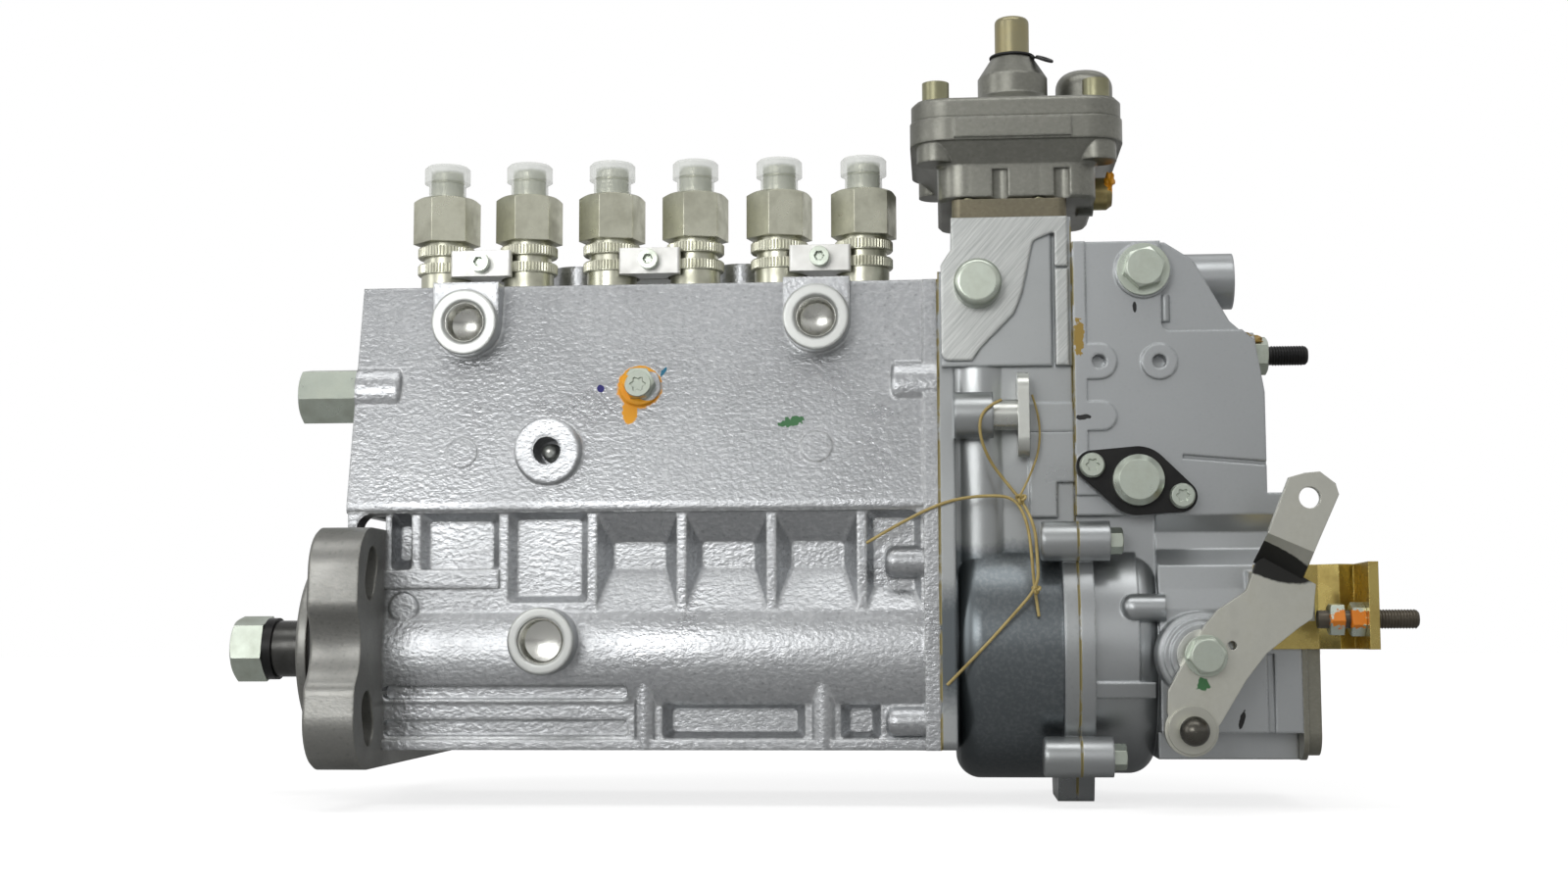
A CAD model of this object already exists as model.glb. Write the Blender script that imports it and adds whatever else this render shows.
"""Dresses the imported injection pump: finishes, small turned and cast detail, seal twine, paint and studio."""
from math import cos, pi, radians, sin

import bmesh
import bpy
from bpy.props import FloatProperty, FloatVectorProperty, PointerProperty
from mathutils import Matrix, Vector, noise
from mathutils.bvhtree import BVHTree


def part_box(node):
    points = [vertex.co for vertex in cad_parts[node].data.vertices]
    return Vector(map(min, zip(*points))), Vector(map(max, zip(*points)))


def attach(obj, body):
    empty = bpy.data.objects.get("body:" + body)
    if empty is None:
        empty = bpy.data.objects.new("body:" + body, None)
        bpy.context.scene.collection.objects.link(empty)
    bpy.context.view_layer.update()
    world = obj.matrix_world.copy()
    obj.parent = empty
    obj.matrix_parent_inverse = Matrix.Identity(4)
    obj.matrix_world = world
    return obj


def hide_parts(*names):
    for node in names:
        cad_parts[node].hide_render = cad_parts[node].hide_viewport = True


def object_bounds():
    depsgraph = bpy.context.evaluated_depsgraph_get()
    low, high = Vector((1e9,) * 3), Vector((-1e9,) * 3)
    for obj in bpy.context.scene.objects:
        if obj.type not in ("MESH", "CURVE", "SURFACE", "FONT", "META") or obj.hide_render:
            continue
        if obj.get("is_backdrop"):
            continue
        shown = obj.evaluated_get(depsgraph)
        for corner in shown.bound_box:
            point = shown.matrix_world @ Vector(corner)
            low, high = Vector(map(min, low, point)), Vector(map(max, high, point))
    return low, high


bl_info = {
    "name": "Injection Pump Dresser",
    "version": (1, 0, 0),
    "blender": (4, 5, 0),
    "location": "View3D > Sidebar > Pump",
    "description": "Finishes and small parts of an in-line injection pump",
    "category": "Object",
}

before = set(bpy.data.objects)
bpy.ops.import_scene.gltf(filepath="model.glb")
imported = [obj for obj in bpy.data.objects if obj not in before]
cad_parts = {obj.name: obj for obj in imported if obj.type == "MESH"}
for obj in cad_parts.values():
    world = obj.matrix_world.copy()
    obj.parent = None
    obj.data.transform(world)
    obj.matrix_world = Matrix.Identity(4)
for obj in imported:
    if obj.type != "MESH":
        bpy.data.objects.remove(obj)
MM = 0.001
PUMP = "pump_body"
FRONT = (0, -1, 0)
cap_boxes = [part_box(f"outlet_cap_{i}") for i in range(1, 7)]
cylinder_xs = [(low.x + high.x) / 2 for low, high in cap_boxes]

lump_detail = 1.7      # how many swells a drop of wax has across it
smooth_share = 0.04    # how much of the casting's grain is left on a machined face
# Places in millimetres: x, y of the outer face, and z
port_z = 118
ports = ((45, -39, port_z), (173, -39, port_z))
oil_port = (77, -54, 2.6)
ball_place = (299.5, -79, -27.6)
clamp_screw_z = 144.3


def linear(red, green, blue):
    """A colour given in display values, as a shader wants it."""
    def straight(value):
        value /= 255
        return value / 12.92 if value <= 0.04045 else ((value + 0.055) / 1.055) ** 2.4
    return (straight(red), straight(green), straight(blue), 1.0)


# ---------------------------------------------------------------- sizes and colours
class StudioSettings(bpy.types.PropertyGroup):
    """Where the camera stands, and how strong each light is"""
    camera_place: FloatVectorProperty(name="Camera place", description="Where the camera stands", size=3,
                                      default=(0.21785, -0.76708, 0.003457), unit="LENGTH")
    heading: FloatProperty(name="Heading", description="Turn of the camera about the vertical",
                           default=radians(4.427), subtype="ANGLE")
    elevation: FloatProperty(name="Elevation", description="How far the camera looks up",
                             default=radians(5.462), subtype="ANGLE")
    roll: FloatProperty(name="Roll", description="Turn of the camera about its line of sight",
                        default=radians(-0.192), subtype="ANGLE")
    lens: FloatProperty(name="Lens", description="Focal length on a 36 mm sensor", default=47.26,
                        unit="CAMERA")
    floor_color: FloatVectorProperty(name="Floor colour", description="Pale floor under the pump", size=4,
                                     subtype="COLOR", default=(0.4, 0.4, 0.4, 1.0))
    key_power: FloatProperty(name="Key light", description="Power of the softbox left of the camera",
                             default=3.0, unit="POWER")
    over_power: FloatProperty(name="Overhead light", description="Power of the long softbox overhead",
                              default=5.5, unit="POWER")
    fill_power: FloatProperty(name="Fill light", description="Power of each soft light at the left and above",
                              default=1.6, unit="POWER")


def swatch(name, description, red, green, blue):
    """A colour setting, with its default in display values."""
    return FloatVectorProperty(name=name, description=description, size=4, subtype="COLOR",
                               default=linear(red, green, blue))


class FinishSettings(bpy.types.PropertyGroup):
    """Colours of the main finishes, and the depth of the cast grain"""
    housing_color: swatch("Housing", "Sand-cast pump housing", 178, 180, 182)
    cover_color: swatch("Cover", "Die-cast governor cover", 174, 177, 178)
    drum_color: swatch("Drum", "Dark die-cast drum", 172, 175, 175)
    flange_color: swatch("Flange", "Grey-brown cast flange", 144, 144, 140)
    boost_color: swatch("Boost unit", "Dark olive-grey casting", 132, 132, 124)
    zinc_color: swatch("Zinc plate", "Pale greenish plating", 196, 204, 192)
    nickel_color: swatch("Nickel plate", "Olive-grey plating of the valve holders", 206, 206, 188)
    paint_color: swatch("Marking paint", "Orange-yellow marking paint", 243, 168, 24)
    green_color: swatch("Green paint", "Green marking paint", 62, 116, 70)
    grain_height: FloatProperty(name="Grain height", description="Depth of the casting's grain",
                                default=0.09 * MM, unit="LENGTH")


# ---------------------------------------------------------------- shader groups
def plug(tree, target, value):
    """Feed an input from a socket, or set it to a value."""
    if isinstance(value, bpy.types.NodeSocket):
        tree.links.new(value, target)
    else:
        target.default_value = value


def node(tree, kind, **values):
    """Add a node; values set its properties, or its inputs where they are named in_Name or in_0."""
    made = tree.nodes.new(kind)
    for key, value in values.items():
        if key.startswith("in_"):
            label = key[3:].replace("_", " ")
            plug(tree, made.inputs[int(label) if label.isdigit() else label], value)
        else:
            setattr(made, key, value)
    return made


def shader_group(name, inputs, outputs):
    """A new group, with the sockets that it is given and those that it fills."""
    group = bpy.data.node_groups.new(name, "ShaderNodeTree")
    for label, kind, value in inputs:
        made = group.interface.new_socket(name=label, in_out="INPUT", socket_type="NodeSocket" + kind)
        made.default_value = value
    for label, kind in outputs:
        group.interface.new_socket(name=label, in_out="OUTPUT", socket_type="NodeSocket" + kind)
    return group, group.nodes.new("NodeGroupInput").outputs, group.nodes.new("NodeGroupOutput").inputs


# Each argument of these is a socket or a value.
def mix_color(tree, factor, first, second, blend="MIX"):
    """Mix two colours."""
    return node(tree, "ShaderNodeMix", data_type="RGBA", blend_type=blend, in_0=factor, in_6=first,
                in_7=second).outputs[2]


def mix_value(tree, mask, first, second):
    """Go from the first value to the second where the mask is one."""
    return node(tree, "ShaderNodeMix", in_0=mask, in_2=first, in_3=second).outputs[0]


def ramp(tree, source, low, high, low_value=0.0, high_value=1.0):
    """Map a value from one range to another, clamped."""
    return node(tree, "ShaderNodeMapRange", in_Value=source, in_From_Min=low, in_From_Max=high,
                in_To_Min=low_value, in_To_Max=high_value).outputs["Result"]


def calc(tree, operation, *values, clamp=False):
    """Work out a value from others."""
    made = node(tree, "ShaderNodeMath", operation=operation, use_clamp=clamp)
    for target, value in zip(made.inputs, values):
        plug(tree, target, value)
    return made.outputs[0]


def multiply(tree, first, second):
    """Multiply two values."""
    return calc(tree, "MULTIPLY", first, second)


def vector(tree, operation, *values):
    """Work out a vector, or a value from vectors."""
    made = node(tree, "ShaderNodeVectorMath", operation=operation)
    for target, value in zip(made.inputs, values):
        plug(tree, target, value)
    return made.outputs["Value" if operation in ("DOT_PRODUCT", "LENGTH", "DISTANCE") else "Vector"]


def noise_of(tree, place, **values):
    """A soft noise over a place."""
    return node(tree, "ShaderNodeTexNoise", in_Vector=place, **values).outputs["Fac"]


def object_place(tree):
    """Where a point lies on the object, in metres."""
    return node(tree, "ShaderNodeTexCoord").outputs["Object"]


def soft_corner(tree, radius):
    """The normal, rounded over edges as wide as a radius."""
    return node(tree, "ShaderNodeBevel", samples=4, in_Radius=radius).outputs["Normal"]


def make_cast_skin():
    """Sand or die casting: pits, soft blotches, rubbed edges and rounded corners."""
    group, given, result = shader_group(
        "cast skin",
        (("Base", "Color", (0.5, 0.5, 0.5, 1)), ("Worn", "Color", (0.8, 0.8, 0.8, 1)),
         ("Grain Size", "Float", 900.0), ("Grain Height", "Float", 0.05 * MM), ("Blotch", "Float", 0.25),
         ("Roughness", "Float", 0.45), ("Edge Radius", "Float", 0.8 * MM), ("Speckle", "Float", 1.0)),
        (("Color", "Color"), ("Roughness", "Float"), ("Normal", "Vector")))
    place = object_place(group)
    flow = node(group, "ShaderNodeMapping", in_Vector=place, in_Scale=(0.8, 1.0, 1.15)).outputs["Vector"]
    grain = noise_of(group, flow, in_Scale=given["Grain Size"], in_Detail=2.0, in_Roughness=0.55)
    pits = node(group, "ShaderNodeTexVoronoi", in_Vector=place, in_Scale=420.0).outputs["Distance"]
    blotch = noise_of(group, place, in_Scale=28.0, in_Detail=4.0, in_Roughness=0.55)
    corner = soft_corner(group, given["Edge Radius"])
    flat = node(group, "ShaderNodeNewGeometry").outputs["Normal"]
    edge = ramp(group, vector(group, "DOT_PRODUCT", corner, flat), 0.99, 0.86)
    rubbed = multiply(group, edge, ramp(group, grain, 0.35, 0.6, 0.35, 0.9))
    stain = multiply(group, ramp(group, blotch, 0.38, 0.68), given["Blotch"])
    shade = mix_color(group, stain, given["Base"], (0.08, 0.08, 0.075, 1))
    speckled = mix_color(group, given["Speckle"], shade, ramp(group, pits, 0.12, 0.3, 0.82, 1.0), "MULTIPLY")
    glint = multiply(group, ramp(group, grain, 0.45, 0.75), multiply(group, given["Speckle"], 0.35))
    lively = mix_color(group, glint, speckled, given["Worn"])
    plug(group, result["Color"], mix_color(group, rubbed, lively, given["Worn"]))
    plug(group, result["Roughness"],
         calc(group, "ADD", given["Roughness"], ramp(group, blotch, 0.3, 0.7, -0.08, 0.1), clamp=True))
    relief = node(group, "ShaderNodeBump", in_Strength=1.0, in_Distance=given["Grain Height"],
                  in_Normal=corner, in_Height=grain)
    plug(group, result["Normal"], relief.outputs["Normal"])
    return group


def make_plated_skin():
    """Machined and plated metal: fine turning marks, faint stains and softened edges."""
    group, given, result = shader_group(
        "plated skin",
        (("Base", "Color", (0.6, 0.6, 0.6, 1)), ("Stain", "Color", (0.3, 0.28, 0.2, 1)),
         ("Stain Amount", "Float", 0.3), ("Roughness", "Float", 0.3), ("Edge Radius", "Float", 0.4 * MM)),
        (("Color", "Color"), ("Roughness", "Float"), ("Normal", "Vector")))
    place = object_place(group)
    cloud = noise_of(group, place, in_Scale=120.0, in_Detail=4.0, in_Roughness=0.6)
    fine = noise_of(group, place, in_Scale=2600.0, in_Detail=2.0)
    amount = multiply(group, ramp(group, cloud, 0.42, 0.7), given["Stain Amount"])
    plug(group, result["Color"], mix_color(group, amount, given["Base"], given["Stain"]))
    plug(group, result["Roughness"],
         calc(group, "ADD", given["Roughness"], ramp(group, cloud, 0.3, 0.7, -0.06, 0.12), clamp=True))
    relief = node(group, "ShaderNodeBump", in_Strength=0.35, in_Distance=0.02 * MM,
                  in_Normal=soft_corner(group, given["Edge Radius"]), in_Height=fine)
    plug(group, result["Normal"], relief.outputs["Normal"])
    return group


def make_spot_mask():
    """One where a surface lies in a ragged-edged ball or capsule, with a round bite left out."""
    group, given, result = shader_group(
        "spot mask",
        (("Center", "Vector", (0, 0, 0)), ("Half Size", "Vector", (MM, MM, MM)), ("Turn", "Float", 0.0),
         ("Bite Center", "Vector", (0, 0, 0)), ("Bite Radius", "Float", 0.0), ("Ragged", "Float", 0.15)),
        (("Mask", "Float"),))
    place = object_place(group)
    turned_away = node(group, "ShaderNodeVectorRotate", rotation_type="Y_AXIS", in_Angle=given["Turn"],
                       in_Vector=vector(group, "SUBTRACT", place, given["Center"])).outputs["Vector"]
    reach = vector(group, "LENGTH", vector(group, "DIVIDE", turned_away, given["Half Size"]))
    edge = ramp(group, noise_of(group, place, in_Scale=700.0, in_Detail=2.0), 0.3, 0.7, -1.0, 1.0)
    shaken = calc(group, "MULTIPLY_ADD", edge, given["Ragged"], reach)
    inside = ramp(group, shaken, 0.96, 1.04, 1.0, 0.0)
    gone = vector(group, "DISTANCE", place, given["Bite Center"])
    left = ramp(group, calc(group, "SUBTRACT", gone, given["Bite Radius"]), -0.1 * MM, 0.2 * MM)
    plug(group, result["Mask"], multiply(group, inside, left))


def make_seam_mask():
    """One in a thin ragged line where two castings meet, across X."""
    group, given, result = shader_group(
        "seam mask", (("Seam X", "Float", 0.0), ("Width", "Float", 0.4 * MM)), (("Mask", "Float"),))
    place = object_place(group)
    x = node(group, "ShaderNodeSeparateXYZ", in_0=place).outputs["X"]
    off = calc(group, "ABSOLUTE", calc(group, "SUBTRACT", x, given["Seam X"]))
    line = ramp(group, calc(group, "DIVIDE", off, given["Width"]), 0.7, 1.0, 1.0, 0.0)
    patchy = ramp(group, noise_of(group, place, in_Scale=160.0, in_Detail=3.0), 0.35, 0.5)
    plug(group, result["Mask"], multiply(group, line, patchy))


def make_brushed_level():
    """Milled and brushed metal: broad slanting strokes, with a plain Mask of where the milled level is."""
    group, given, result = shader_group(
        "brushed level",
        (("Front Y", "Float", -37 * MM), ("Low Z", "Float", 100 * MM), ("Slant", "Float", 0.8)),
        (("Mask", "Float"), ("Shade", "Float")))
    place = object_place(group)
    parts = node(group, "ShaderNodeSeparateXYZ", in_0=place).outputs
    plug(group, result["Mask"], multiply(group, calc(group, "LESS_THAN", parts["Y"], given["Front Y"]),
                                         calc(group, "GREATER_THAN", parts["Z"], given["Low Z"])))
    slant = node(group, "ShaderNodeVectorRotate", rotation_type="Y_AXIS", in_Vector=place,
                 in_Angle=given["Slant"]).outputs["Vector"]
    stretch = node(group, "ShaderNodeMapping", in_Vector=slant, in_Scale=(60.0, 60.0, 1700.0))
    strokes = noise_of(group, stretch.outputs["Vector"], in_Scale=1.0, in_Detail=4.0, in_Roughness=0.7)
    plug(group, result["Shade"], ramp(group, strokes, 0.3, 0.7))


def mask_node(tree, spot):
    """The group that says where one spot, seam or milled level is."""
    made = node(tree, "ShaderNodeGroup", node_tree=bpy.data.node_groups[spot["kind"]])
    for label, value in spot["sizes"].items():
        made.inputs[label].default_value = value
    return made.outputs


def finished(name, group, values, metallic, spots=(), **inputs):
    """A material whose shader takes its colour, roughness and normal from a group, with spots over it."""
    material = bpy.data.materials.new(name)
    material.use_nodes = True
    tree = material.node_tree
    shader = tree.nodes["Principled BSDF"].inputs
    skin = node(tree, "ShaderNodeGroup", node_tree=group)
    for label, value in values.items():
        skin.inputs[label].default_value = value
    places = [mask_node(tree, spot) for spot in spots]
    if "Grain Height" in values:
        height = values["Grain Height"]
        for spot, made in zip(spots, places):
            if spot["smooth"]:
                height = mix_value(tree, made["Mask"], height, values["Grain Height"] * smooth_share)
        plug(tree, skin.inputs["Grain Height"], height)
    color, rough, metal = skin.outputs["Color"], skin.outputs["Roughness"], metallic
    for spot, made in zip(spots, places):
        tint = spot["color"]
        if "Shade" in made:
            tint = mix_color(tree, made["Shade"], spot["dark"], tint)
        color = mix_color(tree, made["Mask"], color, tint)
        rough = mix_value(tree, made["Mask"], rough, spot["roughness"])
        metal = mix_value(tree, made["Mask"], metal, spot["metallic"])
    for label, value in (("Base Color", color), ("Roughness", rough), ("Normal", skin.outputs["Normal"]),
                         ("Metallic", metal)):
        plug(tree, shader[label], value)
    for label, value in inputs.items():
        shader[label.replace("_", " ")].default_value = value
    return material


def mm(*values):
    """Millimetres as metres."""
    return tuple(value * MM for value in values)


def dab(color, center, half, turn=0.0, bite=None, ragged=0.12, metallic=0.0, roughness=0.42, smooth=True):
    """A spot of paint, ink or wax, or a machined face, sizes in millimetres."""
    sizes = {"Center": mm(*center), "Half Size": mm(*half), "Turn": turn, "Ragged": ragged}
    if bite:
        sizes["Bite Center"] = mm(*bite[0])
        sizes["Bite Radius"] = bite[1] * MM
    return {"kind": "spot mask", "sizes": sizes, "color": color, "metallic": metallic,
            "roughness": roughness, "smooth": smooth}


def seam(x, width=0.45):
    """A thin line of dried sealant along a joint."""
    return {"kind": "seam mask", "sizes": {"Seam X": x * MM, "Width": width * MM},
            "color": linear(150, 138, 92), "metallic": 0.0, "roughness": 0.5, "smooth": False}


def plated(color, stain, amount, roughness):
    """What the plated skin is given."""
    return {"Base": color, "Stain": stain, "Stain Amount": amount, "Roughness": roughness}


def wear(name, *nodes):
    """Give CAD nodes a material."""
    for label in nodes:
        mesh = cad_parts[label].data
        mesh.materials.clear()
        mesh.materials.append(bpy.data.materials[name])


# ---------------------------------------------------------------- mesh helpers
def turned(points, turn_steps=48):
    """A round body about Z from (radius, height) points in millimetres."""
    built = bmesh.new()
    ring = [built.verts.new(mm(radius, 0, height)) for radius, height in points]
    edges = [built.edges.new(pair) for pair in zip(ring, ring[1:])]
    bmesh.ops.spin(built, geom=ring + edges, cent=(0, 0, 0), axis=(0, 0, 1), angle=2 * pi, steps=turn_steps,
                   use_merge=True)
    bmesh.ops.remove_doubles(built, verts=built.verts, dist=MM / 1000)
    bmesh.ops.recalc_face_normals(built, faces=built.faces)
    return built


def thread(radius, crest, rise, start, end, turn_steps=32):
    """The ridge of a screw thread about Z, in millimetres."""
    built = bmesh.new()
    root = radius - 0.2
    ridge = [built.verts.new(mm(out, 0, start + rise * share)) for out, share in
             ((root, 0), (crest, 0.34), (crest, 0.46), (root, 0.8))]
    edges = [built.edges.new(pair) for pair in zip(ridge, ridge[1:] + ridge[:1])]
    turns = (end - start) / rise - 1
    bmesh.ops.spin(built, geom=ridge + edges, cent=(0, 0, 0), axis=(0, 0, 1), angle=2 * pi * turns,
                   steps=round(turn_steps * turns), dvec=mm(0, 0, rise / turn_steps))
    bmesh.ops.holes_fill(built, edges=built.edges)
    bmesh.ops.recalc_face_normals(built, faces=built.faces)
    return built


def star_head(radius, star, height, segments=36):
    """The top of a round screw head with a six-lobed recess, about Z in millimetres."""
    built = bmesh.new()
    bmesh.ops.create_circle(built, segments=segments, radius=radius * MM)
    rim = list(built.edges)
    bmesh.ops.create_circle(built, segments=segments, radius=star * MM)
    lobes = [edge for edge in built.edges if edge not in rim]
    for vert in {vert for edge in lobes for vert in edge.verts}:
        angle = Vector((1, 0)).angle_signed(vert.co.xy, 0)
        vert.co *= 0.84 + 0.16 * cos(6 * angle)
    bmesh.ops.bridge_loops(built, edges=rim + lobes)
    recess, skirt = (lobes, 0.85 * height, 0.94), (rim, height, 1.05)
    for edges, drop, spread in (recess, skirt):
        walls = bmesh.ops.extrude_edge_only(built, edges=edges)["geom"]
        moved = [item for item in walls if isinstance(item, bmesh.types.BMVert)]
        for vert in moved:
            vert.co = (vert.co.x * spread, vert.co.y * spread, vert.co.z - drop * MM)
        floor = [item for item in walls if isinstance(item, bmesh.types.BMEdge)
                 and all(vert in moved for vert in item.verts)]
        bmesh.ops.contextual_create(built, geom=floor)
    bmesh.ops.translate(built, vec=mm(0, 0, height), verts=built.verts)
    bmesh.ops.recalc_face_normals(built, faces=built.faces)
    return built


def lump(center, half, seed, rough=0.5):
    """A drop of wax or paint that has set, in millimetres."""
    built = bmesh.new()
    bmesh.ops.create_icosphere(built, subdivisions=4, radius=1.0)
    for vert in built.verts:
        vert.co *= 1 + rough * noise.noise(vert.co * lump_detail + Vector((seed, 0, 0)))
    bmesh.ops.scale(built, vec=mm(*half), verts=built.verts)
    bmesh.ops.translate(built, vec=mm(*center), verts=built.verts)
    return built


def put(built, place, toward):
    """Move a body made about Z to a place in metres, with Z turned toward a direction."""
    turn = Vector(toward).to_track_quat("Z", "Y").to_matrix().to_4x4()
    bmesh.ops.transform(built, matrix=Matrix.Translation(place) @ turn, verts=built.verts)
    return built


def gather(bodies):
    """Join several bodies into one."""
    whole = bmesh.new()
    for built in bodies:
        part = bpy.data.meshes.new("part")
        built.to_mesh(part)
        built.free()
        whole.from_mesh(part)
        bpy.data.meshes.remove(part)
    return whole


def piece(name, built, body, material, sharp=35):
    """Make an object of a body, with its material, riding on a body of the pump."""
    mesh = bpy.data.meshes.new(name)
    built.to_mesh(mesh)
    built.free()
    mesh.shade_smooth()
    mesh.set_sharp_from_angle(angle=radians(sharp))
    mesh.materials.append(bpy.data.materials[material])
    made = bpy.data.objects.new(name, mesh)
    bpy.context.scene.collection.objects.link(made)
    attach(made, body)
    return made


def touch(label, x, z):
    """Where a line along +Y meets a CAD node, and which way its face looks, in metres."""
    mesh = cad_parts[label].data
    tree = BVHTree.FromPolygons([vert.co for vert in mesh.vertices],
                                [list(face.vertices) for face in mesh.polygons])
    place, normal, _, _ = tree.ray_cast(Vector(mm(x, -300, z)), Vector((0, 1, 0)))
    if place is None:
        raise RuntimeError(f"nothing of {label} at {x}, {z}")
    return place, normal if normal.y < 0 else -normal


# ---------------------------------------------------------------- castings and plated parts
class PUMP_OT_castings(bpy.types.Operator):
    """Finish the cast housings"""
    bl_idname = "pump.castings"
    bl_label = "Castings"

    def execute(self, context):
        look = context.scene.pump_finish
        skin = make_cast_skin()
        make_spot_mask()
        make_seam_mask()
        make_brushed_level()
        black_ink = linear(24, 24, 24)
        machined = {"color": linear(184, 186, 183), "metallic": 1.0, "roughness": 0.36, "ragged": 0.0}
        bore = {"color": linear(168, 168, 162), "metallic": 0.35, "roughness": 0.3, "ragged": 0.0}
        rings = [(port, 1, 12.3, 30) for port in ports] + [(oil_port, 2, 12.1, 20)]
        holes = [(port, -9, 7.35, 30) for port in ports] + [(oil_port, -4, 8.3, 20)]
        housing_spots = [dab(center=(x, y - out, z), half=(radius, deep, radius), **face)
                         for face, faces in ((machined, rings), (bore, holes))
                         for (x, y, z), out, radius, deep in faces]
        housing_spots += [
            # orange paint around the guide screw and its run below
            dab(look.paint_color, (108.8, -38, 94.2), (8.4, 12, 8.4), bite=((112.2, -38.5, 94.6), 6.1),
                ragged=0.06),
            dab(look.paint_color, (105.6, -40, 85.2), (3.1, 8, 5.2), ragged=0.1),
            # blue dots and a green dash
            dab(linear(26, 20, 110), (94.6, -37, 93.5), (1.5, 6, 1.5)),
            dab(linear(20, 110, 140), (117.4, -36, 99.6), (0.8, 6, 1.9), turn=-0.5, ragged=0.3),
            dab(look.green_color, (164.4, -41, 80.4), (4.9, 8, 1.9), turn=0.16, ragged=0.35),
            seam(216.4)]
        cover_spots = [
            # black ink dashes and sealant that has run out of the joint
            dab(black_ink, (267.4, -40, 80.7), (3.1, 3, 0.9), turn=0.08, ragged=0.25),
            dab(black_ink, (286.2, -38, 119.8), (0.7, 3, 1.9)),
            dab(linear(20, 20, 20), (319.4, -45, -25), (0.9, 4, 3.3), turn=-0.25, ragged=0.2),
            dab(linear(160, 132, 60), (266.2, -39, 109), (1.9, 4, 6.5), ragged=0.3, roughness=0.3),
            seam(264.4)]
        milled = {"kind": "brushed level",
                  "sizes": {"Front Y": -37.9 * MM, "Low Z": 98.8 * MM, "Slant": 0.85},
                  "color": linear(204, 206, 203), "dark": linear(166, 169, 167), "metallic": 0.95,
                  "roughness": 0.36, "smooth": True}
        dark_bell = dab(linear(106, 112, 115), (243, 0, 0), (300, 49.5, 49.5), ragged=0.01, metallic=0.9,
                        roughness=0.3, smooth=False)
        cap_paint = dab(look.paint_color, (281.5, -12, 170.5), (2.2, 4, 3.4), ragged=0.3)
        for name, color, worn, rough, blotch, size, height, corner, spots, nodes in (
                ("housing cast", look.housing_color, linear(222, 224, 224), 0.32, 0.1, 640.0, 2.2, 1.6,
                 housing_spots, ["pump_housing"]),
                ("cover cast", look.cover_color, linear(206, 210, 212), 0.36, 0.08, 1200.0, 0.14, 1.2,
                 cover_spots, ["governor_cover"]),
                ("drum cast", look.drum_color, linear(186, 191, 194), 0.34, 0.1, 1200.0, 0.14, 1.4,
                 [dark_bell, milled, seam(216.6), seam(264.2)], ["governor_housing"]),
                ("flange cast", look.flange_color, linear(160, 158, 150), 0.42, 0.3, 800.0, 0.7, 1.0,
                 [], ["front_flange"]),
                ("boost cast", look.boost_color, linear(170, 170, 162), 0.38, 0.22, 700.0, 0.5, 1.2,
                 [cap_paint], ["boost_body", "boost_cover"]),
                ("spacer cast", linear(118, 112, 94), linear(150, 144, 124), 0.45, 0.3, 700.0, 0.6, 0.6,
                 [], ["boost_spacer"]),
                ("cover plate", linear(140, 138, 126), linear(190, 190, 180), 0.38, 0.25, 900.0, 0.3, 0.6,
                 [], ["rear_cover"])):
            finished(name, skin, {"Base": color, "Worn": worn, "Roughness": rough, "Blotch": blotch,
                                  "Grain Size": size, "Grain Height": look.grain_height * height,
                                  "Edge Radius": corner * MM, "Speckle": min(height, 1.0)}, 0.9, spots)
            wear(name, *nodes)
        return {"FINISHED"}


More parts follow.
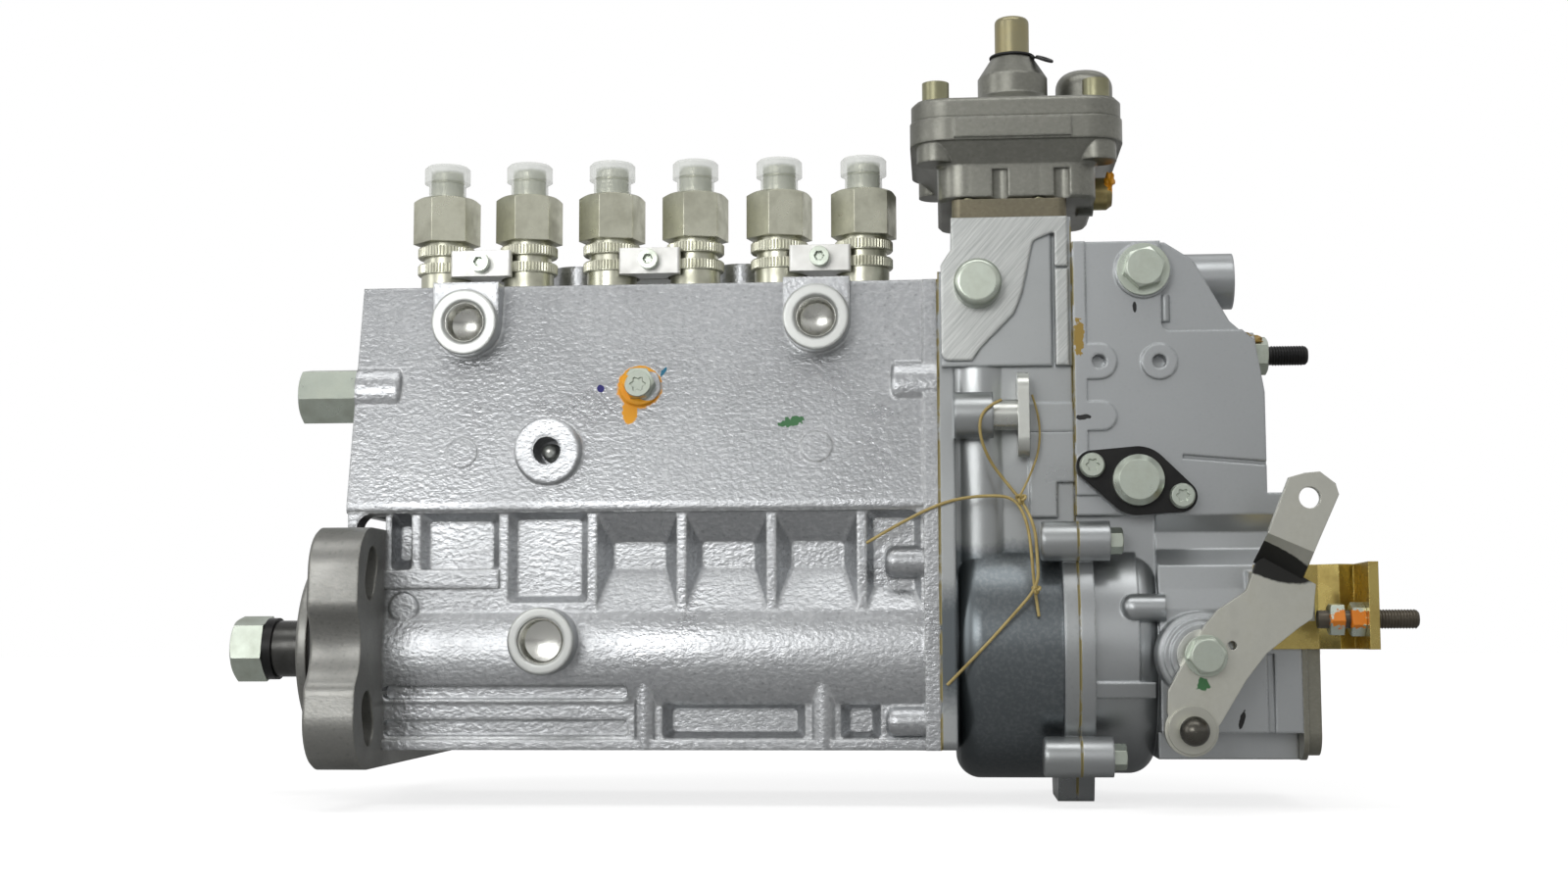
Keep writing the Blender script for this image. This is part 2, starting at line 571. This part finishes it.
class PUMP_OT_plated_parts(bpy.types.Operator):
    """Finish the machined, plated, rubber and plastic parts"""
    bl_idname = "pump.plated_parts"
    bl_label = "Plated parts"

    def execute(self, context):
        look = context.scene.pump_finish
        skin = make_plated_skin()
        inner = ["barrels", "plungers", "tappets", "camshaft_bearings", "flyweight_carrier", "flyweight_1",
                 "flyweight_2", "governor_sleeve", "control_rack", "boost_diaphragm"]
        inner += [f"control_sleeve_{i}" for i in range(1, 7)]
        orange, green = look.paint_color, look.green_color
        ball_x, ball_y, ball_z = ball_place
        screw_paint = dab(orange, (104.5, -40, 93), (3.6, 6, 4.6), ragged=0.15)
        nut_paint = dab(linear(224, 130, 30), (351.5, -72, 9), (6.5, 5, 3.2), ragged=0.3)
        lever_paint = dab(green, (303.4, -70, -12.4), (2.3, 5, 2.3), ragged=0.25)
        lever_bend = dab(linear(44, 44, 42), (324.2, -68.5, 31.0), (19.0, 6.5, 7.4), turn=-0.42, ragged=0.02,
                         metallic=0.6)
        eye_ring = dab(linear(186, 186, 176), (ball_x, ball_y + 7, ball_z), (14, 14, 14),
                       bite=(ball_place, 5.6), ragged=0.0, metallic=0.9, roughness=0.34)
        plug_paint = dab(orange, (281, -10, 169.5), (3, 5, 3.6), ragged=0.3)
        for name, color, stain, amount, rough, metal, spots, nodes in (
                ("zinc plate", look.zinc_color, linear(120, 118, 96), 0.25, 0.3, 0.9, [],
                 ["rack_cap", "governor_screws", "governor_plug", "shaft_plug", "cover_bolt",
                  "shaft_nut", "lever_bolt"]),
                ("marked screws", look.zinc_color, linear(120, 118, 96), 0.25, 0.3, 0.9,
                 [screw_paint], ["housing_screws"]),
                ("marked nuts", look.zinc_color, linear(90, 84, 50), 0.3, 0.3, 0.9,
                 [nut_paint], ["lock_nuts"]),
                ("nickel plate", look.nickel_color, linear(100, 96, 74), 0.3, 0.3, 0.95, [],
                 ["delivery_valve_holders"]),
                ("bright steel", linear(206, 208, 202), linear(140, 138, 130), 0.2, 0.3, 0.9, [],
                 ["small_lever", "lever_shaft"]),
                ("machined bore", linear(216, 216, 210), linear(160, 160, 152), 0.15, 0.2, 1.0, [], []),
                ("pale steel", linear(232, 232, 228), linear(190, 188, 180), 0.2, 0.42, 0.6, [],
                 ["clamping_jaws"]),
                ("lever steel", linear(200, 200, 190), linear(150, 148, 132), 0.25, 0.36, 0.9,
                 [lever_paint, lever_bend], ["control_lever"]),
                ("dark steel", linear(84, 84, 82), linear(40, 38, 34), 0.4, 0.3, 0.9, [], ["camshaft"]),
                ("ball eye", linear(96, 94, 88), linear(60, 56, 48), 0.4, 0.22, 0.9,
                 [eye_ring], ["ball_stud"]),
                ("olive zinc", linear(150, 148, 120), linear(110, 104, 80), 0.3, 0.34, 0.9, [],
                 ["boost_cover_screws"]),
                ("inner steel", linear(140, 142, 144), linear(90, 90, 88), 0.2, 0.25, 0.9, [], inner),
                ("black oxide", linear(26, 26, 26), linear(60, 58, 54), 0.2, 0.36, 0.5, [],
                 ["shaft_washer", "plug_flange", "idle_stop", "plunger_springs"]),
                ("grey oxide", linear(96, 90, 80), linear(60, 54, 44), 0.4, 0.4, 0.8, [], ["stop_screw"]),
                ("yellow zinc", linear(204, 184, 112), linear(128, 96, 48), 0.4, 0.24, 0.95, [],
                 ["stop_bracket"]),
                ("plug brass", linear(170, 158, 110), linear(110, 84, 50), 0.5, 0.3, 0.9,
                 [plug_paint], ["boost_plug"]),
                ("olive brass", linear(152, 146, 116), linear(176, 160, 112), 0.35, 0.34, 0.85, [],
                 ["boost_cap"]),
                ("black rubber", linear(24, 24, 24), linear(44, 44, 44), 0.3, 0.5, 0.0, [],
                 ["pilot_ring", "shaft_seal"])):
            finished(name, skin, plated(color, stain, amount, rough), metal, spots)
            wear(name, *nodes)
        finished("cap plastic", skin, plated(linear(236, 240, 232), linear(206, 212, 200), 0.3, 0.34), 0.0,
                 Alpha=0.36, Specular_IOR_Level=0.6)
        wear("cap plastic", *[f"outlet_cap_{i}" for i in range(1, 7)])
        finished("milky plastic", skin, plated(linear(226, 228, 220), linear(196, 200, 190), 0.3, 0.4), 0.0)
        wear("milky plastic", "air_fitting")
        return {"FINISHED"}


# ---------------------------------------------------------------- turned detail
class PUMP_OT_knurls(bpy.types.Operator):
    """Cut the knurled rings of the delivery valve holders"""
    bl_idname = "pump.knurls"
    bl_label = "Knurled rings"

    def execute(self, context):
        radius, width, teeth = 10.3, 3.2, 54
        chamfer, inward, outward = 0.4, 0.955, 1.058
        rings = []
        for x in cylinder_xs:
            for bottom in (141.5, 148.1):
                built = bmesh.new()
                bmesh.ops.create_cone(built, cap_ends=False, segments=2 * teeth, radius1=radius * MM,
                                      radius2=radius * MM, depth=width * MM)
                for side in (-1, 1):
                    rim = [edge for edge in built.edges
                           if all(vert.co.z * side > (width / 2 - 0.1) * MM for vert in edge.verts)]
                    for vert in bmesh.ops.extrude_edge_only(built, edges=rim)["geom"]:
                        if isinstance(vert, bmesh.types.BMVert):
                            vert.co.xy *= inward
                            vert.co.z += side * chamfer * MM
                for vert in built.verts:
                    step = round(Vector((1, 0)).angle_signed(vert.co.xy, 0) * teeth / pi)
                    if step % 2 and vert.co.xy.length > (radius - 0.1) * MM:
                        vert.co.xy *= outward
                bmesh.ops.recalc_face_normals(built, faces=built.faces)
                bmesh.ops.translate(built, vec=(x, 0, (bottom + width / 2 + chamfer) * MM), verts=built.verts)
                rings.append(built)
        piece("knurled_rings", gather(rings), PUMP, "nickel plate", sharp=20)
        return {"FINISHED"}


class PUMP_OT_threads(bpy.types.Operator):
    """Cut the threads of the outlets and of the two stop screws"""
    bl_idname = "pump.threads"
    bl_label = "Threads"

    def execute(self, context):
        outlets = []
        for x in cylinder_xs:
            built = thread(5.95, 6.2, 1.5, 172.5, 181.0)
            bmesh.ops.translate(built, vec=(x, 0, 0), verts=built.verts)
            outlets.append(built)
        piece("outlet_threads", gather(outlets), PUMP, "nickel plate")
        for name, radius, crest, length, place, material in (
                ("idle_thread", 3.35, 3.62, 12.6, (335.6, -20, 104), "black oxide"),
                ("stop_thread", 3.0, 3.22, 16.8, (357.6, -67, 9), "grey oxide")):
            built = put(thread(radius, crest, 1.0, 0, length), mm(*place), (1, 0, 0))
            piece(name, built, PUMP, material)
        return {"FINISHED"}


class PUMP_OT_screw_stars(bpy.types.Operator):
    """Make the six-lobed recesses of the round screw heads"""
    bl_idname = "pump.screw_stars"
    bl_label = "Screw recesses"

    def execute(self, context):
        heads = []
        for label, x, z, radius, star, height in (
                *(("housing_screws", x, clamp_screw_z, 3.4, 1.9, 0.5) for x in (45, 109, 173)),
                ("housing_screws", 109, 94.2, 4.6, 3.0, 0.6), ("governor_screws", 269.7, 62.9, 3.9, 2.4, 1.0),
                ("governor_screws", 300.5, 52.0, 3.9, 2.4, 1.0)):
            place, normal = touch(label, x, z)
            heads.append(put(star_head(radius, star, height), place - normal * 0.05 * MM, normal))
        piece("screw_stars", gather(heads), PUMP, "zinc plate")
        return {"FINISHED"}


class PUMP_OT_vent_pin(bpy.types.Operator):
    """Make the domed pin down in the vent boss"""
    bl_idname = "pump.vent_pin"
    bl_label = "Vent pin"

    def execute(self, context):
        radius, top = 2.9, 9
        dome = [(radius * sin(radians(angle)), top - radius + radius * cos(radians(angle)))
                for angle in range(15, 91, 15)]
        built = turned([(0, top)] + dome + [(radius, 2.2), (3.4, 1.8), (3.4, 0), (0, 0)])
        piece("vent_pin", put(built, mm(77, -32, 70.2), FRONT), PUMP, "bright steel")
        return {"FINISHED"}


class PUMP_OT_port_seats(bpy.types.Operator):
    """Make the threaded walls and the drilled cones of the fuel and oil ports"""
    bl_idname = "pump.port_seats"
    bl_label = "Port seats"

    def execute(self, context):
        wall, ridge, half_pitch, flanks = 0.9, 0.35, 0.5, 15
        cone_depth = 9.0
        seats = []
        for (x, y, z), bore, depth in (*((port, 7.2, 13.4) for port in ports), (oil_port, 8.15, 11.8)):
            inner, rim = bore - wall, depth - cone_depth
            ridges = [(inner + ridge * (flank % 2), rim + half_pitch * (flank + 1))
                      for flank in range(flanks)]
            mouth = [(bore - 0.2, depth - 0.7), (bore, depth - 0.9)]
            seat = turned([(0, 0.4), (inner, rim)] + ridges + mouth + [(bore, 0), (0, 0)])
            seats.append(put(seat, mm(x, y + depth, z), FRONT))
        piece("port_seats", gather(seats), PUMP, "machined bore")
        return {"FINISHED"}


class PUMP_OT_seal_tag(bpy.types.Operator):
    """Make the black clip with its eye under the cap of the boost unit"""
    bl_idname = "pump.seal_tag"
    bl_label = "Seal tag"

    def execute(self, context):
        def washer(hole, rim, turn_steps=48):
            return turned([(hole, 0), (rim - 0.2, 0), (rim, 0.2), (rim, 0.7), (rim - 0.2, 0.9), (hole, 0.9),
                           (hole, 0)], turn_steps)

        clip = washer(6.7, 8.6)
        bmesh.ops.translate(clip, vec=mm(245.6, 0, 221.25), verts=clip.verts)
        eye = put(washer(1.3, 3.5, 32), mm(257.4, -4.6, 219.4), (0.35, -0.45, 1))
        neck = bmesh.new()
        bmesh.ops.create_cube(neck, size=MM)
        bmesh.ops.scale(neck, vec=(4.4, 3.2, 0.8), verts=neck.verts)
        bmesh.ops.bevel(neck, geom=neck.edges[:], offset=0.2 * MM, segments=2, profile=0.5, affect="EDGES",
                        material=-1)
        put(neck, mm(254.0, -3.9, 220.8), (0.3, -0.3, 1))
        piece("seal_tag", gather([clip, eye, neck]), PUMP, "black rubber")
        return {"FINISHED"}


class PUMP_OT_wax(bpy.types.Operator):
    """Set the drops of wax and paint that seal the adjustments"""
    bl_idname = "pump.wax"
    bl_label = "Sealing wax"

    def execute(self, context):
        skin = bpy.data.node_groups["plated skin"]
        paint = context.scene.pump_finish.paint_color
        finished("amber wax", skin, plated(linear(168, 138, 62), linear(110, 84, 36), 0.6, 0.3), 0.0,
                 Subsurface_Weight=0.2, Subsurface_Scale=2 * MM)
        finished("orange paint", skin, plated(paint, linear(190, 120, 10), 0.4, 0.35), 0.0)
        drops = [lump((329.6, -22.5, 109.4), (3.6, 3, 1.7), 3.0),
                 lump((325.4, -24.5, 110.9), (3.2, 2.4, 1.3), 9.0)]
        piece("idle_wax", gather(drops), PUMP, "amber wax")
        dot = lump((280.4, -12.6, 171.2), (1.7, 2.0, 3.1), 5.0)
        piece("plug_wax", dot, PUMP, "orange paint")
        return {"FINISHED"}


class PUMP_OT_twine(bpy.types.Operator):
    """Lay the sealing twine along its two runs, with its knots"""
    bl_idname = "pump.twine"
    bl_label = "Sealing twine"

    def execute(self, context):
        skin = bpy.data.node_groups["plated skin"]
        finished("waxed twine", skin, plated(linear(188, 168, 108), linear(140, 116, 60), 0.7, 0.55), 0.0)

        def strand(name, points, thick, closed=False):
            line = bpy.data.curves.new(name, "CURVE")
            line.dimensions = "3D"
            spline = line.splines.new("NURBS")
            spline.points.add(len(points) - 1)
            for place, point in zip(spline.points, points):
                place.co = (*mm(*point), 1)
            spline.order_u = 3
            spline.use_cyclic_u = closed
            spline.use_endpoint_u = not closed
            line.bevel_depth = thick * MM
            line.bevel_resolution = 3
            line.use_fill_caps = True
            line.materials.append(bpy.data.materials["waxed twine"])
            made = bpy.data.objects.new(name, line)
            context.scene.collection.objects.link(made)
            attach(made, PUMP)
            return made

        def knot(name, center, size, steps=12):
            x, y, z = center
            turns = [2 * pi * step / steps for step in range(steps)]
            return strand(name, [(x + size * (sin(t) + 2 * sin(2 * t)) / 3, y - size * 0.6 * sin(3 * t),
                                  z + size * (cos(t) - 2 * cos(2 * t)) / 3) for t in turns], 0.5, True)

        along = ((190.8, -42.4, 36.6), (203, -46, 43.6), (218.5, -47.2, 50.8), (231, -45.5, 52.8),
                 (242.8, -43, 52.5), (246.9, -45.5, 43.8), (248.1, -48.2, 34), (248.9, -48.4, 20.5),
                 (250.4, -48.6, 10.5))
        down = ((238.5, -50.2, 85.8), (232.2, -51.3, 83.2), (230.2, -50.4, 75.3), (233.8, -45.5, 65.2),
                (240.2, -42, 57.2), (246.3, -43.5, 49.5), (249.6, -47.5, 41), (250.1, -49.5, 31),
                (250.4, -50, 21), (241.5, -50.3, 11), (231, -50.6, -0.5), (218.6, -46.6, -13))
        bight = ((244.6, -43.2, 52.6), (249.6, -41.2, 62), (252.2, -40.6, 72), (251.6, -41, 82),
                 (249.4, -41.6, 88.5))
        upper = knot("upper_knot", (245.0, -44.4, 51.6), 1.9)
        lower = knot("lower_knot", (249.6, -49.4, 19.8), 1.5)
        bight_piece = strand("twine_bight", bight, 0.4)
        first = strand("seal_twine_along", along, 0.55)
        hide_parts("seal_wire_1")
        second = strand("seal_twine_down", down, 0.55)
        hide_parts("seal_wire_2")
        return {"FINISHED"}


# ---------------------------------------------------------------- studio
class PUMP_OT_stage(bpy.types.Operator):
    """Set up the floor, the lights, the world and the camera"""
    bl_idname = "pump.stage"
    bl_label = "Stage"

    def execute(self, context):
        scene = context.scene
        studio = scene.pump_studio
        self.make_floor(scene, studio)
        self.make_world(scene)
        for name, place, target, size, power in (
                ("key light", (-0.22, -1.08, 0.3), (0.12, 0, 0.0), (0.6, 0.36), studio.key_power),
                ("over light", (0.1, -0.5, 1.1), (0.17, 0, 0.05), (1.6, 0.42), studio.over_power),
                ("fill light", (-0.9, -0.5, 0.35), (0.15, 0, 0.05), (0.4, 0.8), studio.fill_power),
                ("top light", (0.25, 0.35, 1.0), (0.17, 0, 0.06), (1.2, 0.5), studio.fill_power)):
            lamp = bpy.data.lights.new(name, "AREA")
            lamp.shape = "RECTANGLE"
            lamp.size, lamp.size_y = size
            lamp.energy = power
            holder = bpy.data.objects.new(name, lamp)
            holder.location = place
            holder.rotation_euler = (Vector(target) - Vector(place)).to_track_quat("-Z", "Y").to_euler()
            scene.collection.objects.link(holder)
        lens = bpy.data.cameras.new("camera")
        lens.lens = studio.lens
        lens.clip_start = 0.01
        camera = bpy.data.objects.new("camera", lens)
        turn = (Matrix.Rotation(studio.heading, 4, "Z") @ Matrix.Rotation(pi / 2 + studio.elevation, 4, "X")
                @ Matrix.Rotation(studio.roll, 4, "Z"))
        camera.matrix_world = Matrix.Translation(studio.camera_place) @ turn
        scene.collection.objects.link(camera)
        scene.camera = camera
        scene.view_settings.view_transform = "Standard"
        return {"FINISHED"}

    def make_floor(self, scene, studio):
        """A pale floor that keeps the pump's shadow and glows to white away from it, for the camera alone."""
        middle_x, bottom, sheet_gap = 0.17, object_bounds()[0][2], 0.0005
        near, far, near_glow, far_glow, mirrored_glow = 0.25, 0.8, 0.76, 0.98, 0.05
        built = bmesh.new()
        bmesh.ops.create_grid(built, x_segments=1, y_segments=1, size=6)
        bmesh.ops.translate(built, vec=(middle_x, 0, bottom - sheet_gap), verts=built.verts)
        mesh = bpy.data.meshes.new("floor")
        built.to_mesh(mesh)
        built.free()
        floor = bpy.data.objects.new("floor", mesh)
        scene.collection.objects.link(floor)
        paint = bpy.data.materials.new("floor paint")
        paint.use_nodes = True
        tree = paint.node_tree
        shader = tree.nodes["Principled BSDF"].inputs
        shader["Base Color"].default_value = studio.floor_color
        shader["Roughness"].default_value = 0.9
        shader["Emission Color"].default_value = (1, 1, 1, 1)
        path = node(tree, "ShaderNodeLightPath").outputs
        wide = vector(tree, "DISTANCE", object_place(tree), (middle_x, 0, bottom))
        glow = mix_value(tree, path["Is Camera Ray"], multiply(tree, path["Is Glossy Ray"], mirrored_glow),
                         ramp(tree, wide, near, far, near_glow, far_glow))
        plug(tree, shader["Emission Strength"], glow)
        mesh.materials.append(paint)
        floor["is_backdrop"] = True

    def make_world(self, scene):
        """A room with dark floor and ceiling and bright walls, and plain white for the camera."""
        dark_floor, bright_wall, dim_ceiling, mirrored = 0.1, 0.72, 0.42, 0.7
        world = bpy.data.worlds.new("studio")
        scene.world = world
        world.use_nodes = True
        tree = world.node_tree
        sky = tree.nodes["Background"].inputs
        path = node(tree, "ShaderNodeLightPath").outputs
        seen = calc(tree, "MAXIMUM", path["Is Camera Ray"], path["Is Transmission Ray"])
        toward = node(tree, "ShaderNodeTexCoord").outputs["Generated"]
        up = node(tree, "ShaderNodeSeparateXYZ", in_0=toward).outputs["Z"]
        walls = ramp(tree, up, -0.12, 0.16, dark_floor, bright_wall)
        room = multiply(tree, walls, ramp(tree, up, 0.3, 0.85, 1.0, dim_ceiling))
        soft = mix_value(tree, path["Is Glossy Ray"], multiply(tree, room, mirrored), room)
        sky["Color"].default_value = (1, 1, 1, 1)
        plug(tree, sky["Strength"], mix_value(tree, seen, soft, 1.0))


class PUMP_PT_panel(bpy.types.Panel):
    """The buttons that make each group of pieces"""
    bl_label = "Injection pump"
    bl_idname = "PUMP_PT_panel"
    bl_space_type = "VIEW_3D"
    bl_region_type = "UI"
    bl_category = "Pump"

    def draw(self, context):
        for operator in operators:
            self.layout.operator(operator.bl_idname)


operators = (PUMP_OT_castings, PUMP_OT_plated_parts, PUMP_OT_stage, PUMP_OT_twine, PUMP_OT_knurls,
             PUMP_OT_threads, PUMP_OT_screw_stars, PUMP_OT_vent_pin, PUMP_OT_port_seats, PUMP_OT_seal_tag,
             PUMP_OT_wax)
classes = (StudioSettings, FinishSettings, *operators, PUMP_PT_panel)


def register():
    """Register the classes and the two groups of settings."""
    for item in classes:
        bpy.utils.register_class(item)
    bpy.types.Scene.pump_studio = PointerProperty(type=StudioSettings)
    bpy.types.Scene.pump_finish = PointerProperty(type=FinishSettings)


def unregister():
    """Undo what register does."""
    del bpy.types.Scene.pump_finish
    del bpy.types.Scene.pump_studio
    for item in reversed(classes):
        bpy.utils.unregister_class(item)


def main():
    """Make everything."""
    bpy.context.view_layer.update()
    register()
    for operator in operators:
        group, action = operator.bl_idname.split(".")
        getattr(getattr(bpy.ops, group), action)()


if __name__ == "__main__":
    main()
